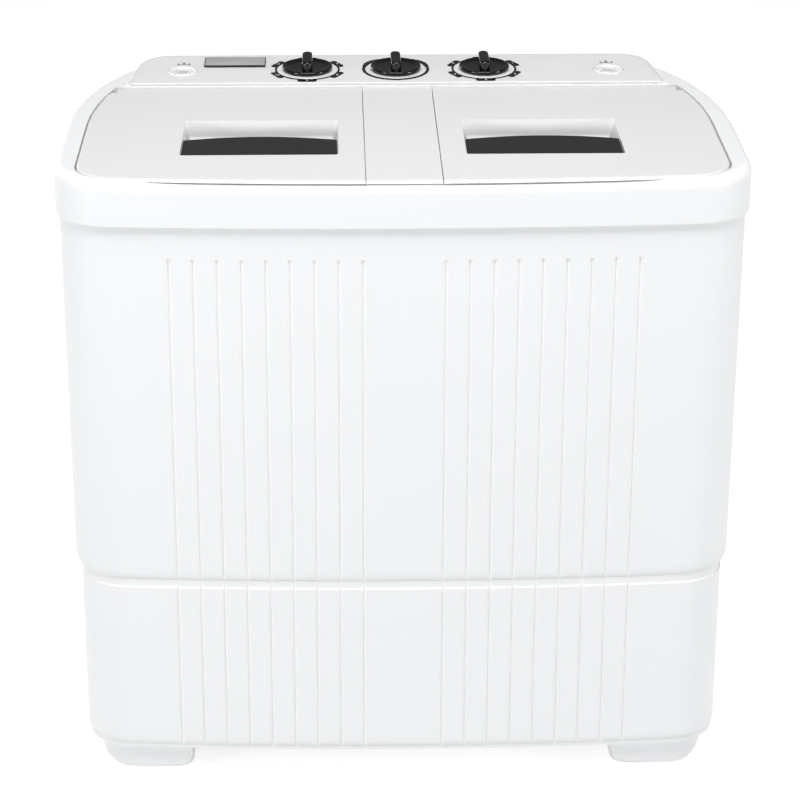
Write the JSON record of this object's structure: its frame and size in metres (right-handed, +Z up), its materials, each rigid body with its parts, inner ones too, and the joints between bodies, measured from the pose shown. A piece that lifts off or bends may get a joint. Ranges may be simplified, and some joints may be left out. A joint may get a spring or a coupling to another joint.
{
  "type": "twin-tub washing machine",
  "caption": "Compact twin-tub washing machine with a belt-driven pulsator tub, a spin-drying basket, two hinged lids and a rear console with turning knobs.",
  "frame": {"origin": "on the floor under the middle of the machine's footprint", "axes": "+Z up, +X to the right of someone standing in front of it, front facing -Y; the console is along the back"},
  "size_m": [0.59, 0.36, 0.5953],
  "materials": {
    "white_plastic": "satin moulded white plastic",
    "light_grey_plastic": "satin moulded light grey plastic",
    "charcoal_plastic": "finely textured charcoal plastic",
    "black_gloss": "glossy black plastic",
    "badge_metal": "brushed silver-grey foil, bare",
    "tub_plastic": "moulded polypropylene",
    "blue_plastic": "moulded pale blue polypropylene",
    "steel": "zinc-plated steel",
    "cast_aluminium": "die-cast aluminium",
    "black_rubber": "black rubber",
    "motor_paint": "dark grey enamel on steel laminations"
  },
  "bodies": {
    "frame": {"cabinet_shell": "white_plastic", "plinth": "white_plastic", "top_deck": "white_plastic", "foot_front_left": "white_plastic", "foot_front_right": "white_plastic", "foot_back_left": "white_plastic", "foot_back_right": "white_plastic", "console_housing": "white_plastic", "left_water_inlet": "white_plastic", "right_water_inlet": "white_plastic", "drain_valve_box": "white_plastic", "drain_pipe": "white_plastic", "rear_cover": "white_plastic", "centre_strip": "light_grey_plastic", "wash_timer": "charcoal_plastic", "spin_timer": "charcoal_plastic", "selector_mechanism": "charcoal_plastic", "motor_capacitor": "charcoal_plastic", "wash_timer_dial": "black_gloss", "selector_dial": "black_gloss", "spin_timer_dial": "black_gloss", "badge_plate": "badge_metal", "wash_tub": "tub_plastic", "spin_tub": "tub_plastic", "overflow_cover": "blue_plastic", "lint_filter": "blue_plastic", "wash_lid_hinge_rod": "steel", "spin_lid_hinge_rod": "steel", "wash_motor_bracket": "steel", "spin_motor_plate": "steel", "spin_motor_spring_1": "steel", "spin_motor_spring_2": "steel", "spin_motor_spring_3": "steel", "bearing_housing": "cast_aluminium", "drive_belt": "black_rubber", "bellows_seal": "black_rubber", "cord_gland": "black_rubber", "wash_motor": "motor_paint", "spin_motor": "motor_paint"},
    "wash_lid_body": {"wash_lid": "light_grey_plastic", "wash_lid_grip": "charcoal_plastic"},
    "spin_lid_body": {"spin_lid": "light_grey_plastic", "spin_lid_grip": "charcoal_plastic"},
    "wash_timer_control": {"wash_timer_knob": "black_gloss", "wash_timer_shaft": "steel"},
    "selector_control": {"selector_knob": "black_gloss", "selector_shaft": "steel"},
    "spin_timer_control": {"spin_timer_knob": "black_gloss", "spin_timer_shaft": "steel"},
    "pulsator_drive": {"pulsator": "blue_plastic", "pulsator_shaft": "steel", "driven_pulley": "cast_aluminium"},
    "wash_motor_rotor": {"motor_pulley": "cast_aluminium"},
    "spin_rotor": {"spin_basket": "white_plastic", "balance_ring": "blue_plastic", "spin_safety_plate": "blue_plastic", "spin_shaft": "steel", "brake_drum": "cast_aluminium"},
    "brake_lever": {"brake_arm": "steel"},
    "drain_valve": {"drain_valve_plunger": "black_rubber"}
  },
  "joints": [
    {"name": "wash_lid_hinge", "type": "hinge", "parent": "frame", "child": "wash_lid_body", "pos_m": [-0.142, 0.0775, 0.56773], "axis": [-1, 0, 0], "range_deg": [0, 100]},
    {"name": "spin_lid_hinge", "type": "hinge", "parent": "frame", "child": "spin_lid_body", "pos_m": [0.142, 0.0775, 0.56773], "axis": [-1, 0, 0], "range_deg": [0, 100]},
    {"name": "wash_timer_turn", "type": "hinge", "parent": "frame", "child": "wash_timer_control", "pos_m": [-0.0826, 0.122, 0.58107], "axis": [0, 0.1045, -0.9945], "range_deg": [0, 300]},
    {"name": "selector_turn", "type": "hinge", "parent": "frame", "child": "selector_control", "pos_m": [0, 0.122, 0.58107], "axis": [0, 0.1045, -0.9945], "range_deg": [-60, 60]},
    {"name": "spin_timer_turn", "type": "hinge", "parent": "frame", "child": "spin_timer_control", "pos_m": [0.0826, 0.122, 0.58107], "axis": [0, 0.1045, -0.9945], "range_deg": [0, 300]},
    {"name": "pulsator_spin", "type": "hinge", "parent": "frame", "child": "pulsator_drive", "pos_m": [-0.151, -0.02, 0.211], "axis": [0, 0, 1], "continuous": true},
    {"name": "wash_motor_spin", "type": "hinge", "parent": "frame", "child": "wash_motor_rotor", "pos_m": [-0.026, 0.092, 0.074], "axis": [0, 0, 1], "continuous": true},
    {"name": "spin_basket_spin", "type": "hinge", "parent": "frame", "child": "spin_rotor", "pos_m": [0.1535, -0.042, 0.216], "axis": [0, 0, 1], "continuous": true},
    {"name": "brake_release", "type": "hinge", "parent": "frame", "child": "brake_lever", "pos_m": [0.2155, -0.016, 0.176], "axis": [0, 0, -1], "range_deg": [0, 8]},
    {"name": "drain_valve_lift", "type": "slide", "parent": "frame", "child": "drain_valve", "axis": [0, 0, 1], "range_m": [0, 0.012]}
  ],
  "couplings": [
    {"joint": "wash_motor_spin", "follows": "pulsator_spin", "ratio": 4}
  ]
}
